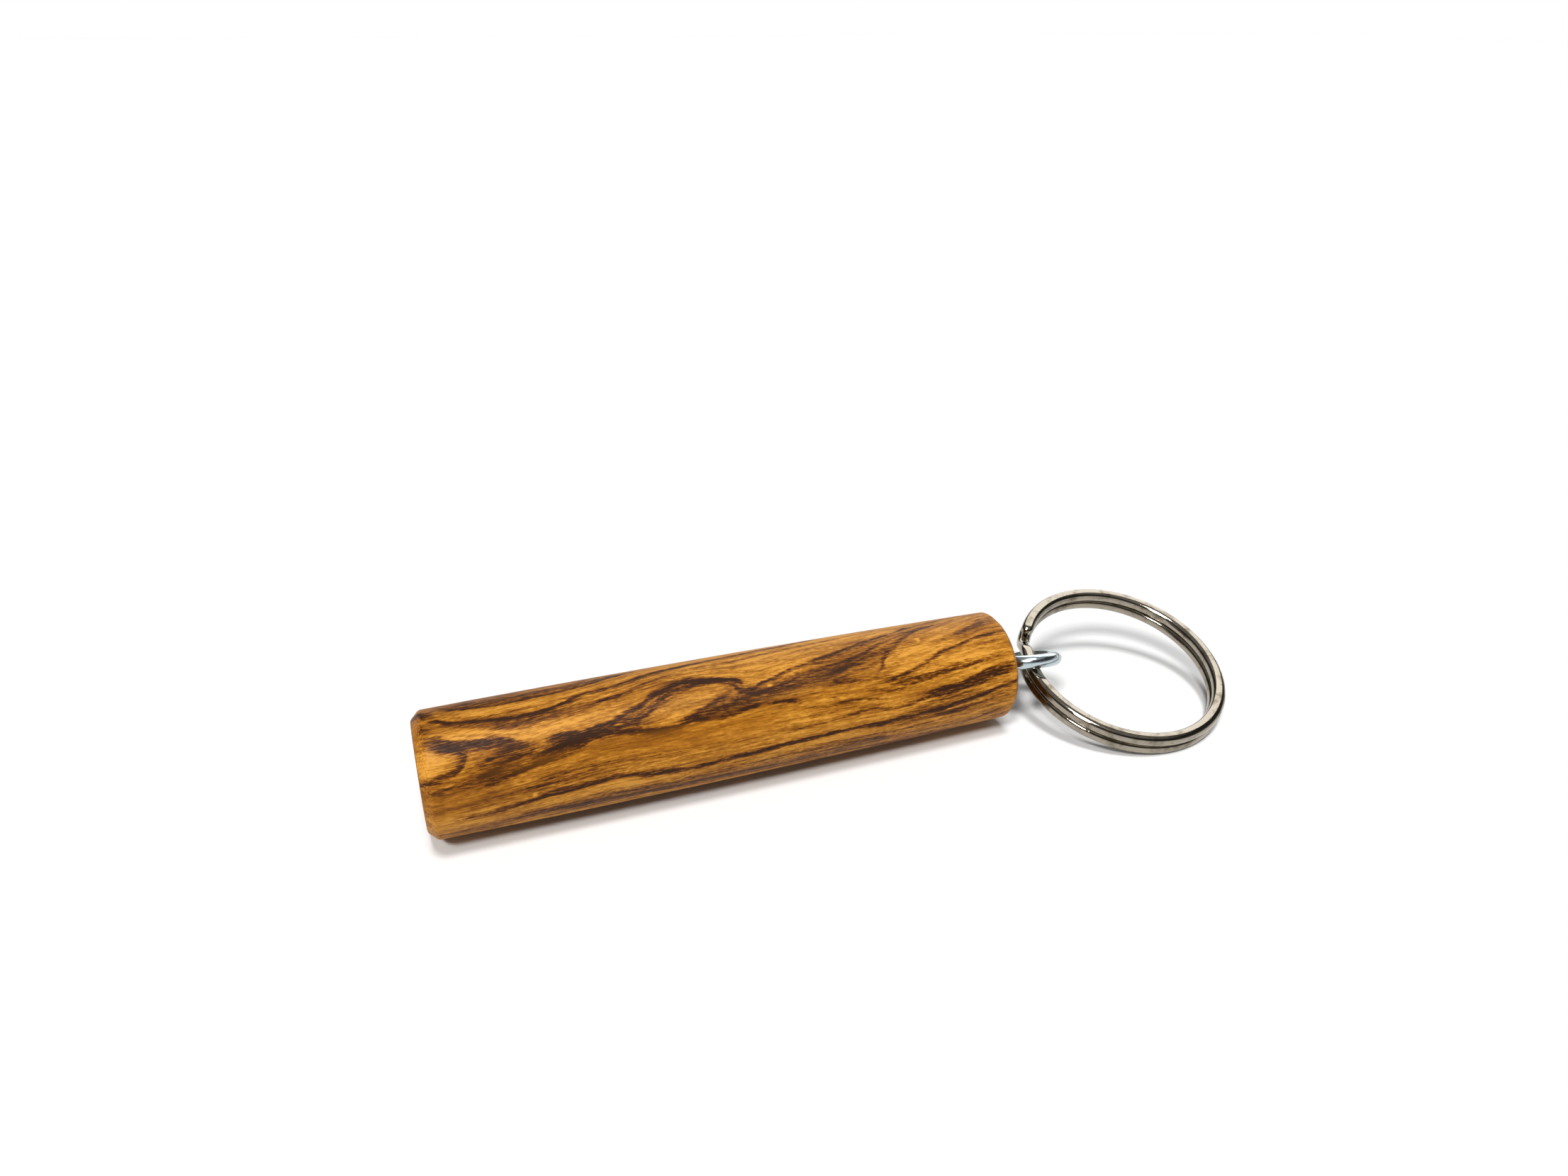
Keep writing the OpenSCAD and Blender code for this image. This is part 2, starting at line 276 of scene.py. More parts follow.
# ---------------------------------------------------------------- the wood's figure
# Each vein of the visible side is (darkness, width above, width below, points). A point is
# (distance from the free end in mm, angle round the fob: 0 is the top, 90 the near side).
VEINS = [
    (1.00, 0.26, 0.42, [(-1, -30), (0.5, -16), (2, 0), (3, 8), (4, 12), (6, 15), (9, 16), (12, 18), (14, 19),
                        (16, 17), (18, 13), (20, 8), (23, 4), (26, -2), (30, -9), (34, -11),
                        (38, -13), (42, -17), (47, -20), (53, -25)]),
    (0.75, 0.35, 0.20, [(3, -10), (6, -4), (9, -1), (13, -1), (17, -2), (20, -6), (24, -13), (29, -24)]),
    (0.35, 0.40, 0.20, [(5, -14), (9, -10), (14, -9), (18, -9), (22, -14), (26, -22)]),
    (0.25, 0.40, 0.40, [(7, 11), (12, 11), (16, 9), (20, 5)]),
    (0.20, 0.50, 0.30, [(5, 21), (10, 24), (15, 24), (21, 21), (28, 15), (34, 10)]),
    (0.45, 0.20, 0.20, [(20, 22), (25, 16), (28, 6), (32, 0), (38, -1), (44, -5), (50, -9), (56, -13)]),
    # the light drop at the free end and its dark outline
    (0.60, 0.30, 0.55, [(0, 2), (1, 14), (2, 22), (4, 30), (6, 33), (9, 34), (11, 38), (13, 46)]),
    (0.50, 0.40, 0.30, [(1, 29), (3, 34), (5, 38), (7, 39)]),
    (0.85, 0.16, 0.60, [(1, 32), (4, 37), (5, 43), (5.6, 49), (5, 54)]),
    (0.95, 0.60, 0.16, [(-3, 69), (0, 66), (1.5, 64), (3, 61), (4.6, 56), (5.6, 50), (5.4, 44)]),
    (0.55, 0.30, 0.30, [(6, 66), (8, 64), (10, 58), (12, 53), (14, 49)]),
    (0.35, 0.30, 0.30, [(6, 60), (8, 53), (10, 48), (12, 46)]),
    (0.45, 0.30, 0.40, [(0, 72), (2, 72), (5, 69), (7, 67)]),
    # the dark wave that runs up to the island
    (0.85, 0.28, 0.14, [(6, 74), (9, 71), (12, 66), (15, 63), (17, 60), (19, 55), (21, 51), (23, 50)]),
    (0.85, 0.50, 0.50, [(14, 56), (16, 52), (18, 48), (20, 47), (22, 46)]),
    (0.60, 0.30, 0.30, [(15, 60), (17, 55), (19, 51), (21, 48)]),
    (0.85, 0.30, 0.35, [(14, 48), (17, 44), (19, 44), (21, 42), (23, 39), (25, 35), (27, 30), (29, 23),
                        (31, 16), (33, 14), (35, 17), (37, 20), (39, 24), (40, 28)]),
    (0.60, 0.25, 0.25, [(31, 20), (33, 19), (35, 20), (37, 22), (38.5, 26)]),
    (0.90, 0.36, 0.36, [(27, 27), (28.5, 22), (30, 18), (32, 14.5), (34, 16.5), (36, 18.5),
                        (38, 21), (39.6, 27), (39.5, 34)]),
    (0.80, 0.30, 0.30, [(21, 48), (24, 52), (26, 55), (28, 57), (30, 56), (32, 53), (35, 56)]),
    (0.50, 0.20, 0.35, [(22, 49), (24, 46), (26, 44), (28, 38), (30, 32), (32, 25), (34, 22), (36, 22)]),
    (0.50, 0.30, 0.30, [(20, 54), (22, 52), (24, 53), (25, 57), (27, 59)]),
    (0.75, 0.40, 0.40, [(37, 24), (38.5, 30), (39, 35), (41, 36)]),
    (0.45, 0.30, 0.30, [(38, 28), (37, 36), (35, 43), (33, 49), (31, 52)]),
    # the greyish zone right of the island
    (0.75, 0.35, 0.14, [(34, 55), (37, 56), (40, 53), (43, 52), (45, 54), (47, 58)]),
    (0.40, 0.30, 0.30, [(34, 50), (37, 46), (40, 42), (43, 39), (46, 35), (50, 29)]),
    (0.85, 0.14, 0.30, [(39, 33), (41, 35), (42, 31), (44, 27), (46, 22), (48, 18), (52, 13), (56, 6),
                        (60, -1), (64, -9), (68, -15), (72, -22)]),
    (0.30, 0.30, 0.30, [(38, 50), (42, 45), (46, 41), (50, 36), (53, 31)]),
    (0.50, 0.20, 0.22, [(46, 31), (49, 27), (52, 25), (54, 22), (57, 17), (60, 9), (63, 2), (66, -4),
                        (70, -11)]),
    (0.65, 0.30, 0.30, [(50, 37), (52, 34), (54, 30), (56, 27)]),
    (0.60, 0.30, 0.22, [(57, 46), (58.4, 38), (59, 29), (60, 21), (61, 18), (63, 8), (66, -1), (69, -8)]),
    (0.50, 0.40, 0.40, [(50, 46), (52, 43), (54, 42)]),
    (0.40, 0.25, 0.25, [(52, 47), (54, 45), (56, 43)]),
    (0.70, 0.22, 0.22, [(50, 56), (51, 57), (52, 59)]),
    (0.45, 0.22, 0.22, [(48, 61), (49, 61)]),
    (0.70, 0.22, 0.16, [(50, 62), (53, 63), (56, 65), (58.5, 68)]),
    # the streaks that run to the eye end
    (0.65, 0.30, 0.30, [(57, 50), (59.5, 49), (62, 45), (65, 40), (67, 34), (69, 30), (72, 25), (74, 23),
                        (78, 20)]),
    (0.55, 0.30, 0.14, [(56, 58), (59, 61), (61, 59), (64, 56), (68, 52), (72, 49), (75, 45), (78, 39)]),
    (0.30, 0.20, 0.20, [(62, 53), (66, 49), (70, 47), (74, 44)]),
    (0.35, 0.60, 0.60, [(69, 20), (71, 13), (74, 5), (76, -3), (78, -8)]),
    (0.35, 0.30, 0.30, [(72, 33), (75, 31), (78, 29)]),
    (0.75, 0.18, 0.30, [(65, 69), (68, 67), (70, 64), (72, 61), (75, 58), (78, 55)]),
    (0.60, 0.20, 0.25, [(67, 70), (70, 67), (73, 65), (78, 62)]),
    (0.55, 0.20, 0.20, [(72, 68), (75, 66), (78, 64)]),
    (0.45, 0.12, 0.12, [(44, 81), (48, 80), (52, 77), (57, 76)]),
    (0.65, 0.25, 0.14, [(57, 79), (60, 79), (63, 77), (66, 76), (68, 74), (71, 71), (74, 69)]),
    (0.40, 0.50, 0.50, [(64, 70), (66, 72), (68, 71)]),
    (0.35, 0.30, 0.30, [(60, 85), (64, 82), (68, 79), (72, 76)]),
    # the long lines below
    (0.75, 0.45, 0.28, [(3, 103), (7, 102), (10, 99), (14, 95), (18, 93), (23, 91), (27, 94), (31, 97)]),
    (0.40, 0.50, 0.30, [(11, 90), (15, 90), (19, 89), (24, 88)]),
    (0.95, 0.28, 0.32, [(25, 96), (30, 98), (36, 96), (42, 94), (48, 92), (53, 91), (58, 93), (64, 91),
                        (68, 88), (72, 84), (75, 80), (78, 75)]),
    (0.40, 0.35, 0.25, [(10, 114), (16, 113), (22, 111), (28, 112), (34, 111), (40, 108), (48, 108),
                        (54, 111), (60, 114)]),
    (0.70, 0.25, 0.30, [(8, 118), (16, 117), (26, 119), (36, 120), (46, 122), (52, 123), (57, 128),
                        (64, 131), (72, 133)]),
    (0.35, 0.30, 0.30, [(12, 126), (20, 124), (30, 123), (40, 127), (52, 130)]),
    (0.30, 0.30, 0.30, [(42, 102), (50, 103), (58, 105), (66, 108)]),
    (0.50, 0.35, 0.35, [(65, 97), (68, 97), (71, 93)]),
    (0.55, 0.20, 0.25, [(70, 126), (71, 120), (72.5, 116), (74, 111), (78, 105)]),
    (0.45, 0.25, 0.25, [(73, 128), (75, 120), (78, 115)]),
    (0.55, 0.30, 0.25, [(74, 132), (76, 127), (78, 124)]),
    # broad soft shading
    (0.22, 0.60, 0.60, [(22, 47), (25, 42), (28, 33), (31, 21), (34, 18), (37, 22)]),
    (0.22, 0.60, 0.60, [(24, 52), (28, 56), (32, 54), (35, 50), (37, 40), (38, 30)]),
    (0.35, 0.70, 0.70, [(1, 26), (4, 35), (8, 39), (12, 46), (14, 52)]),
    (0.15, 0.80, 0.80, [(5, 58), (8, 56), (11, 52), (13, 50)]),
    (0.15, 0.70, 0.70, [(6, 68), (10, 63), (14, 57), (17, 52)]),
    (0.30, 0.60, 0.60, [(1, -20), (6, -12), (12, -10), (18, -12), (22, -20)]),
    (0.30, 0.50, 0.60, [(1, -6), (4, 2), (8, 10), (14, 12)]),
    (0.30, 0.60, 0.60, [(58, 53), (62, 53), (66, 50), (72, 46)]),
    (0.35, 0.60, 0.60, [(64, 74), (68, 70), (72, 66), (76, 62), (78, 60)]),
    (0.30, 0.60, 0.60, [(60, 96), (66, 96), (72, 92), (78, 88)]),
    (0.25, 0.80, 0.80, [(8, 116), (20, 114), (34, 114), (48, 113), (60, 112)]),
]

# Growth lines that lie side by side: (darkness, how many, width in mm, first line, last line)
FAMILIES = [
    # right of the island, from its lower end up to the top
    (0.45, 9, 0.11, [(40, 33), (44, 28), (48, 21), (54, 11), (60, 0), (66, -10)],
     [(34, 55), (39, 52), (45, 47), (50, 43), (55, 38), (59, 30)]),
    (0.35, 5, 0.16, [(50, 27), (53, 24), (56, 18), (60, 9)], [(50, 46), (53, 44), (56, 40), (59, 32)]),
    # the eye end
    (0.45, 3, 0.14, [(59, 46), (65, 37), (70, 28), (74, 22), (78, 18)],
     [(59, 52), (65, 44), (71, 34), (75, 29), (78, 26)]),
    (0.50, 4, 0.13, [(57, 51), (62, 51), (68, 49), (74, 45), (78, 39)],
     [(57, 60), (62, 59), (68, 56), (74, 53), (78, 48)]),
    (0.65, 5, 0.16, [(63, 68), (68, 65), (72, 61), (75, 58), (78, 54)],
     [(62, 78), (66, 77), (70, 74), (74, 71), (78, 66)]),
    (0.40, 3, 0.16, [(62, 84), (67, 80), (72, 76), (78, 70)], [(60, 90), (67, 88), (72, 84), (78, 77)]),
    (0.25, 6, 0.30, [(68, 16), (71, 8), (74, -1), (77, -9)], [(74, 17), (76, 10), (77, 4), (78, -2)]),
    # below the long dark line
    (0.42, 16, 0.18, [(0, 104), (12, 101), (24, 95), (36, 100), (48, 96), (60, 96), (70, 92), (78, 84)],
     [(0, 138), (12, 137), (24, 136), (36, 137), (48, 138), (60, 140), (70, 138), (78, 134)]),
    (0.22, 5, 0.25, [(5, 78), (12, 76), (20, 72), (28, 70), (34, 66)],
     [(4, 92), (12, 88), (20, 86), (28, 84), (36, 82)]),
    # the upper left
    (0.38, 6, 0.22, [(1, -30), (7, -19), (14, -16), (20, -18), (25, -30)],
     [(2, -9), (7, -2), (13, 0), (19, -3), (29, -22)]),
    (0.18, 7, 0.30, [(8, 19), (14, 22), (20, 13), (28, 0), (38, -8), (52, -16)],
     [(8, 28), (14, 32), (20, 30), (28, 14), (40, 12), (54, -2)]),
    # round the light drop and down to the dark wave
    (0.45, 6, 0.16, [(0, 20), (4, 31), (8, 33), (12, 39), (14, 45)],
     [(1, 32), (3, 37), (5, 41), (6, 48), (6, 54)]),
    (0.40, 7, 0.14, [(5, 56), (8, 51), (11, 47), (13, 44)], [(5, 72), (9, 69), (13, 63), (17, 56)]),
    (0.45, 6, 0.14, [(15, 48), (18, 42), (21, 42), (24, 37), (27, 30)],
     [(10, 70), (14, 64), (18, 57), (22, 50), (27, 53)]),
    # faint lines in the plain wood below the island
    (0.30, 7, 0.14, [(12, 78), (24, 62), (36, 62), (48, 62), (58, 68)],
     [(8, 90), (22, 84), (36, 88), (50, 84), (60, 84)]),
    (0.25, 5, 0.25, [(0, 68), (3, 68), (6, 72)], [(0, 92), (4, 90), (9, 86)]),
    # rings of the island
    (0.50, 3, 0.18, [(24, 45), (27, 35), (30, 22), (33, 15), (38, 21)],
     [(25, 50), (27, 43), (30, 30), (33, 23), (37, 24)]),
    (0.45, 4, 0.22, [(37, 24), (37, 32), (35.5, 40), (33, 47), (30, 52)],
     [(39, 30), (39, 38), (38, 45), (36, 50), (33, 56)]),
    (0.45, 2, 0.18, [(22, 48), (25, 52), (28, 54), (31, 52)], [(22, 51), (25, 56), (28, 59), (33, 57)]),
]

# Broad tones: (change in tone, change in warmth, x, angle, half-length in mm, half-width in degrees)
TONES = [
    (0.75, 0.1, 1.5, 50, 3, 11),
    (0.45, 0.0, 15, 34, 7, 7),
    (0.40, 0.0, 11, 7, 7, 5),
    (0.45, 0.1, 24, 11, 6, 6),
    (-0.30, 0.4, 20, 24, 9, 4),
    (-0.50, -0.5, 9, -22, 12, 12),
    (-0.60, 0.0, 9, 48, 4, 12),
    (-0.50, 0.2, 8, 64, 6, 7),
    (-0.60, -0.5, 19, 50, 5, 5),
    (-0.40, -0.3, 26, 46, 3, 7),
    (-0.40, 0.2, 3, 84, 7, 14),
    (0.20, -0.4, 31, 38, 5, 14),
    (-0.75, -0.7, 42, 46, 6, 9),
    (-0.75, -0.5, 51, 37, 6, 12),
    (-0.55, -0.2, 56, 22, 5, 9),
    (-0.55, -0.2, 62, 5, 5, 8),
    (-0.60, -0.3, 36, 48, 3, 8),
    (-0.45, 0.0, 67, -8, 5, 6),
    (-0.35, 0.0, 55, 44, 4, 8),
    (-0.30, -0.1, 67, 70, 5, 6),
    (-0.25, -0.1, 74, 63, 5, 6),
    (0.15, 0.2, 44, 8, 9, 12),
    (-0.15, 0.9, 33, 70, 13, 13),
    (-0.15, 0.5, 4, 82, 6, 12),
    (0.25, 0.0, 64, 25, 5, 10),
    (0.60, 0.1, 71, 44, 8, 6),
    (-0.50, 0.2, 57, 62, 8, 6),
    (-0.15, 0.4, 75, 6, 4, 12),
    (-0.20, 0.0, 72, 98, 8, 8),
    # painted light, painted shade and painted reflection: long bands along the whole lower side, lighter
    # where the floor's bounce light falls, darker between, greyer for the floor's reflection
    (0.60, -0.2, 38, 106, 42, 9),
    (-0.15, -0.4, 38, 121, 42, 9),
    (0.65, -0.3, 38, 134, 42, 14),
    # painted light: a long lighter band along the top, where the light falls
    (0.60, 0.0, 47, -3, 18, 8),
    # small pale scuffs
    (2.5, 0.0, 12.5, 90, 0.3, 1.4),
    (2.5, 0.0, 43, 36, 0.2, 1.2),
    (2.5, 0.0, 65, 13, 0.2, 1.6),
    (-0.75, 0.4, 17, 62, 10, 7),
    (-0.55, 0.5, 33, 62, 9, 7),
    (-0.45, 0.1, 5, 82, 8, 10),
    (-0.10, 0.0, 40, 91, 26, 7),
    (-0.45, 0.1, 6, 14, 6, 7),
    (-0.40, 0.1, 71, 10, 7, 10),
    # painted light: a second long lighter band along the top, where the light falls
    (0.55, 0.0, 48, -20, 22, 9),
    (-0.35, 0.1, 56, 14, 8, 6),
]
DEGREE = math.radians(1) * FOB_R   # length of one degree round the fob
UNDERSIDE = (138.0, 318)           # angles between which the veins are made up by chance


def spline(points, spacing):
    """Points of a smooth curve through the given ones, about a spacing apart."""
    p = np.array(points, dtype=float)
    p = np.vstack([2 * p[0] - p[1], p, 2 * p[-1] - p[-2]])
    made = []
    for a, b, c, d in zip(p[:-3], p[1:-2], p[2:-1], p[3:]):
        steps = max(2, int(np.linalg.norm(c - b) / spacing))
        t = np.linspace(0, 1, steps, endpoint=False)[:, None]
        made.append(0.5 * (2 * b + (c - a) * t + (2 * a - 5 * b + 4 * c - d) * t**2
                           + (3 * b - a - 3 * c + d) * t**3))
    made.append(p[-2][None])
    return np.vstack(made)


def all_veins():
    """The veins and growth lines of the visible side, and long ones for the side underneath."""
    veins = [(dark, above, below, [(x, angle * DEGREE) for x, angle in points])
             for dark, above, below, points in VEINS]
    draw = random.Random(7)
    for dark, count, width, first, last in FAMILIES:
        first, last = np.array(first), np.array(last)
        for n in range(count):
            share = (n + draw.uniform(0.2, 0.8)) / count
            line = first + (last - first) * share
            line = line + np.array([[0, draw.uniform(-1, 1)] for _ in line])
            wide = width * draw.uniform(0.5, 1.4)
            veins.append((dark * draw.uniform(0.3, 1.1), wide, wide * draw.uniform(0.6, 1.4),
                          [(x, a * DEGREE) for x, a in line]))
    angle = UNDERSIDE[0]
    while angle < UNDERSIDE[1]:
        dark = draw.uniform(0.3, 0.9)
        sway = draw.uniform(2, 7)
        phase = draw.uniform(0, 6.3)
        start, end = draw.uniform(-6, 14), draw.uniform(62, 84)
        points = [(x, (angle + sway * math.sin(x / 13 + phase) + 0.05 * x) * DEGREE)
                  for x in np.linspace(start, end, 9)]
        veins.append((dark, draw.uniform(0.15, 0.5), draw.uniform(0.15, 0.5), points))
        angle += draw.uniform(6, 15)
    return veins


def wrap(distance):
    """A distance round the fob, brought to within half a turn."""
    whole = 360 * DEGREE
    return distance - whole * np.round(distance / whole)


class Lattice:
    """Smooth noise on a grid, seeded, which repeats after a number of cells."""

    def __init__(self, seed, across, around):
        self.values = np.random.default_rng(seed).uniform(-1, 1, (across, around))

    def at(self, u, v):
        i, j = np.floor(u).astype(int), np.floor(v).astype(int)
        s, t = u - i, v - j
        s, t = s * s * (3 - 2 * s), t * t * (3 - 2 * t)
        n, m = self.values.shape
        pick = lambda a, b: self.values[a % n, b % m]
        low = pick(i, j) * (1 - s) + pick(i + 1, j) * s
        high = pick(i, j + 1) * (1 - s) + pick(i + 1, j + 1) * s
        return low * (1 - t) + high * t


AROUND = 360 * DEGREE


def noise_at(seed, x, around, length, width):
    """Noise whose grains are a length along the fob and a width round it, in millimetres."""
    cells = max(2, round(AROUND / width))
    return Lattice(seed, 257, cells).at(x / length + 50, around / AROUND * cells)


FLOW_STEP = 0.6       # cell of the grid that holds the grain's direction
SPACING = 0.4         # distance between the points of a vein
RELAX_STEPS = 1500    # passes that even out the wandering of the grain lines


def flow_field(veins):
    """The grain's direction on a coarse grid, from the veins near each place."""
    nx, na = int(FOB_LEN / FLOW_STEP) + 2, int(AROUND / FLOW_STEP)
    x, around = np.meshgrid(np.arange(nx) * FLOW_STEP, np.arange(na) * AROUND / na, indexing="ij")
    cos2, sin2 = np.full_like(x, 0.12), np.zeros_like(x)
    for dark, _, _, points in veins:
        curve = spline(points, 1.0)
        along = np.gradient(curve, axis=0)
        angle = 2 * np.arctan2(along[:, 1], along[:, 0])
        dx = x[..., None] - curve[:, 0]
        da = wrap(around[..., None] - curve[:, 1])
        near = dark * np.exp(-(dx**2 + da**2) / 4)
        cos2 += (near * np.cos(angle)).sum(-1)
        sin2 += (near * np.sin(angle)).sum(-1)
    half = np.arctan2(sin2, cos2) / 2
    return np.cos(half), np.sin(half)


def stream(flow):
    """How far each place's grain line has wandered round the fob, on the flow's grid."""
    target_x, target_a = -flow[1], flow[0] - 1
    wander = np.zeros_like(target_x)
    spread = np.zeros_like(target_x)
    spread[1:-1] = (target_x[2:] - target_x[:-2]) / 2
    spread += (np.roll(target_a, -1, 1) - np.roll(target_a, 1, 1)) / 2
    for _ in range(RELAX_STEPS):
        ends = np.vstack([wander[1:2], wander, wander[-2:-1]])
        beside = np.roll(wander, 1, 1) + np.roll(wander, -1, 1)
        wander = (ends[:-2] + ends[2:] + beside - spread * FLOW_STEP) / 4
    return wander


def bilinear(grid, x, around):
    """A value of the flow's grid at places on the barrel, blended from the four nearest."""
    nx, na = grid.shape
    u = np.clip(x / FLOW_STEP, 0, nx - 1.001)
    v = around / AROUND * na
    i, j = np.floor(u).astype(int), np.floor(v).astype(int)
    s, t = u - i, v - j
    pick = lambda a, b: grid[a, b % na]
    return ((pick(i, j) * (1 - s) + pick(i + 1, j) * s) * (1 - t)
            + (pick(i, j + 1) * (1 - s) + pick(i + 1, j + 1) * s) * t)


def fibres(x, around, flow, seed, size, steps):
    """Noise drawn out along the grain, so that it becomes streaks that follow the veins."""
    total = noise_at(seed, x, around, size, size)
    for way in (1, -1):
        px, pa = x.copy(), around.copy()
        for _ in range(steps):
            px += way * size * bilinear(flow[0], px, pa)
            pa += way * size * bilinear(flow[1], px, pa)
            total += noise_at(seed, px, pa, size, size)
    return total / math.sqrt(2 * steps + 1)


def figure(x, around):
    """Vein darkness, tone, warmth, two kinds of streak and the grain's angle on the barrel."""
    veins = all_veins()
    flow = flow_field(veins)
    streaks = fibres(x, around, flow, 11, 0.22, 14)
    fine = fibres(x, around, flow, 12, 0.16, 8)
    flames = fibres(x, around, flow, 18, 0.30, 5)
    grain = around + bilinear(stream(flow), x, around)
    # the edges of the veins wander and are drawn out along the grain
    shift = 0.10 * streaks + 0.30 * noise_at(13, x, around, 5, 2.5) + 0.24 * flames
    wx = x + 0.4 * noise_at(14, x, around, 2.0, 1.2)
    wa = around + shift * 0.6
    light = np.ones_like(x)
    for dark, above, below, points in veins:
        curve = spline(points, SPACING)
        reach = 4 * max(above, below)
        low, high = curve.min(0) - reach, curve.max(0) + reach
        middle = (low[1] + high[1]) / 2
        away = wrap(wa - middle)
        near = (wx > low[0]) & (wx < high[0]) & (np.abs(away) < (high[1] - low[1]) / 2)
        if not near.any():
            continue
        px, pa = wx[near], middle + away[near]
        best = np.full(px.shape, 1e9)
        side = np.zeros(px.shape)
        place = np.zeros(px.shape)
        along = np.gradient(curve, axis=0)
        along /= np.linalg.norm(along, axis=1)[:, None]
        for n, ((cx, ca), (tx, ta)) in enumerate(zip(curve, along)):
            along_it = (px - cx) * tx + (pa - ca) * ta
            across = (pa - ca) * tx - (px - cx) * ta
            d = across**2 + np.maximum(0, np.abs(along_it) - SPACING / 2) ** 2
            closer = d < best
            best[closer] = d[closer]
            side[closer] = across[closer]
            place[closer] = n / (len(curve) - 1)
        width = np.where(side > 0, below, above)
        ends = np.minimum(1, np.minimum(place, 1 - place) * len(curve) * 0.4 / 2.5 + 0.15)
        sharp = np.where(width > min(above, below) + 0.05, 0.65, 1.15)
        depth = np.exp(-np.power(best / (width * width), sharp))
        light[near] *= 1 - dark * ends * depth
    tone = 0.18 * noise_at(15, x, around, 9, 3) + 0.12 * noise_at(16, x, around, 3, 1.2)
    warmth = 0.25 * noise_at(17, x, around, 11, 4)
    for change, warm, cx, angle, length, width in TONES:
        d = ((wx - cx) / length) ** 2 + (wrap(wa - angle * DEGREE) / (width * DEGREE)) ** 2
        weight = np.exp(-d)
        tone += change * weight
        warmth += warm * weight
    return 1 - light, tone, warmth, streaks, fine, grain


# ---------------------------------------------------------------- the wooden fob
STATIONS = 372        # rows of vertices along the barrel
SIDES = 244           # vertices round it
CORNER_R = 0.28       # softened edge of a chamfer
CORNER_REACH = 3      # how far from an end the even spacing of the rows stops
FACE_ROWS = 9         # rows of vertices across an end face
AT_END = 0.05         # a point this near an end lies on the end face
WAVE, PROUD = 0.012, 0.006   # heights of the turning's waves and of the hard veins


def barrel_r(x):
    """Radius of the barrel at a distance from the free end."""
    free_drop, eye_drop = math.sqrt(FREE_TAPER / 2), math.sqrt(EYE_TAPER / 2)
    thickest = FOB_LEN * free_drop / (free_drop + eye_drop)
    return FOB_R - ((free_drop + eye_drop) * (x - thickest) / FOB_LEN) ** 2


def softened(corners, radius, steps=5):
    """An open outline whose inner corners are rounded by curves that start a radius away."""
    made = [np.array(corners[0], dtype=float)]
    for before, corner, after in zip(corners[:-2], corners[1:-1], corners[2:]):
        before, corner, after = (np.array(p, dtype=float) for p in (before, corner, after))
        a = corner + unit(before - corner) * radius
        b = corner + unit(after - corner) * radius
        for t in np.linspace(0, 1, steps):
            made.append((1 - t) ** 2 * a + 2 * t * (1 - t) * corner + t**2 * b)
    made.append(np.array(corners[-1], dtype=float))
    return made


def fob_profile():
    """Outline from the middle of the free end, along the barrel and into the screw's hole."""
    free_r, eye_r = barrel_r(0), barrel_r(FOB_LEN)
    free = softened([(0, 0.001), (0, free_r - FREE_CHAMFER), (FREE_CHAMFER, barrel_r(FREE_CHAMFER)),
                     (CORNER_REACH, barrel_r(CORNER_REACH))], CORNER_R)
    eye = softened([(FOB_LEN - CORNER_REACH, barrel_r(FOB_LEN - CORNER_REACH)),
                    (FOB_LEN - EYE_CHAMFER, barrel_r(FOB_LEN - EYE_CHAMFER)),
                    (FOB_LEN, eye_r - EYE_CHAMFER), (FOB_LEN, HOLE_D / 2 + 0.35),
                    (FOB_LEN - 0.3, HOLE_D / 2 + 0.1), (FOB_LEN - 3, HOLE_D / 2)], CORNER_R / 2)
    face = [np.array([0, r]) for r in np.linspace(0.6, free_r - FREE_CHAMFER - 0.5, FACE_ROWS)]
    along = np.linspace(CORNER_REACH, FOB_LEN - CORNER_REACH, STATIONS)[1:-1]
    middle = [np.array([x, barrel_r(x)]) for x in along]
    first = [i for i, p in enumerate(eye) if p[0] > FOB_LEN - 0.001 and p[1] < eye_r - EYE_CHAMFER][0]
    across = np.linspace(eye_r - EYE_CHAMFER - 0.4, HOLE_D / 2 + 0.7, FACE_ROWS)
    eye_face = [np.array([FOB_LEN, r]) for r in across]
    return free[:1] + face + free[1:] + middle + eye[:first + 1] + eye_face + eye[first + 1:]


def make_fob(material):
    profile = np.array(fob_profile())
    angle = np.arange(SIDES) * 2 * math.pi / SIDES
    x = np.repeat(profile[:, 0], SIDES)
    r = np.repeat(profile[:, 1], SIDES)
    a = np.tile(angle, len(profile))
    around = a / math.radians(1) * DEGREE
    dark, tone, warmth, streaks, fine, grain = figure(x, around)
    # hand turning leaves a faint waviness, and the harder veins stand a little proud
    on_side = smoothstep(r, 5.5, 7)
    r = r - on_side * (WAVE + WAVE * noise_at(21, x, around, 7, 12) - PROUD * dark)
    points = np.stack([x, -r * np.sin(a), r * np.cos(a)], 1)
    piece = make_object("olive_wood_barrel", points, tube_faces(len(profile), SIDES),
                        "wood_fob", "fob", material)
    ends = 1 - smoothstep(r, 5.8, 7.2) * (x > AT_END) * (x < FOB_LEN - AT_END)
    for name, values in (("vein", dark), ("tone", tone), ("warmth", warmth),
                         ("streaks", streaks), ("fine", fine), ("ends", ends)):
        made = piece.data.attributes.new(name, "FLOAT", "POINT")
        made.data.foreach_set("value", values.astype(np.float32))
    # the place of each point in a straight-grained fob, for texture that follows the grain
    turned = grain / DEGREE * math.radians(1)
    straight = np.stack([x, -r * np.sin(turned), r * np.cos(turned)], 1)
    made = piece.data.attributes.new("grain", "FLOAT_VECTOR", "POINT")
    made.data.foreach_set("vector", straight.astype(np.float32).ravel())


# Colours of the wood, as display values
LIGHT_WOOD, GOLD_WOOD, BROWN_WOOD = (196, 137, 50), (154, 99, 23), (114, 66, 10)
DARK_WOOD, DARKEST_WOOD = (74, 38, 6), (44, 21, 3)
WARM_WOOD, GREY_WOOD = (150, 92, 14), (128, 94, 44)


